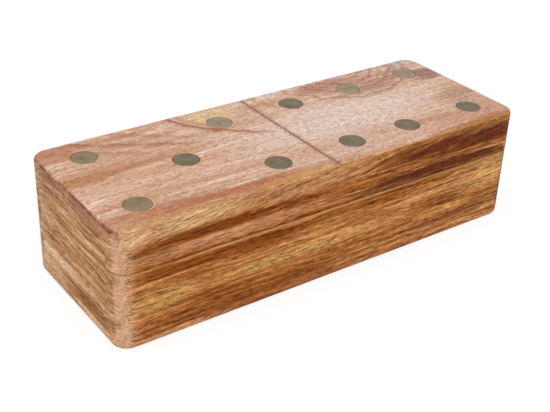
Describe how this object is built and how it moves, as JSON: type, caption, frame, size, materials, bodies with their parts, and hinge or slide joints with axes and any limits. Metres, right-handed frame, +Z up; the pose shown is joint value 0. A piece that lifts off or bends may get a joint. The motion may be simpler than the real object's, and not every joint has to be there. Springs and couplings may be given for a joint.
{
  "type": "domino storage box",
  "caption": "Small hardwood storage box for domino tiles, with a lid inlaid with brass pips and hinged on two small butt hinges at the back.",
  "frame": {"origin": "middle of the underside of the bottom board, on the surface that the box stands on", "axes": "+X along the box towards the half with six pips, +Y towards the hinges at the back, +Z up"},
  "size_m": [0.19, 0.0727, 0.05],
  "materials": {
    "lid_wood": "sanded hardwood under a thin satin oil finish, pinkish tan with brown streaks along the board",
    "box_wood": "sanded hardwood under a thin satin oil finish, orange brown with dark streaks and yellow bands",
    "inlay_brass": "flat sanded brass, dulled to a grey olive",
    "hinge_brass": "plain pressed brass, lightly tarnished"
  },
  "bodies": {
    "box": {"bottom_board": "box_wood", "front_board": "box_wood", "back_board": "box_wood", "left_end_board": "box_wood", "right_end_board": "box_wood", "left_hinge_box_leaf": "hinge_brass", "right_hinge_box_leaf": "hinge_brass", "left_hinge_pin": "hinge_brass", "right_hinge_pin": "hinge_brass", "box_leaf_screws": "hinge_brass"},
    "lid": {"lid_top_board": "lid_wood", "lid_front_rail": "lid_wood", "lid_back_rail": "lid_wood", "lid_left_rail": "lid_wood", "lid_right_rail": "lid_wood", "five_pip_1": "inlay_brass", "five_pip_2": "inlay_brass", "five_pip_3": "inlay_brass", "five_pip_4": "inlay_brass", "five_pip_5": "inlay_brass", "six_pip_1": "inlay_brass", "six_pip_2": "inlay_brass", "six_pip_3": "inlay_brass", "six_pip_4": "inlay_brass", "six_pip_5": "inlay_brass", "six_pip_6": "inlay_brass", "left_hinge_lid_leaf": "hinge_brass", "right_hinge_lid_leaf": "hinge_brass", "lid_leaf_screws": "hinge_brass"}
  },
  "joints": [
    {"name": "lid_hinge", "type": "hinge", "parent": "box", "child": "lid", "pos_m": [0, 0.0365, 0.032], "axis": [-1, 0, 0], "range_deg": [0, 190]}
  ]
}
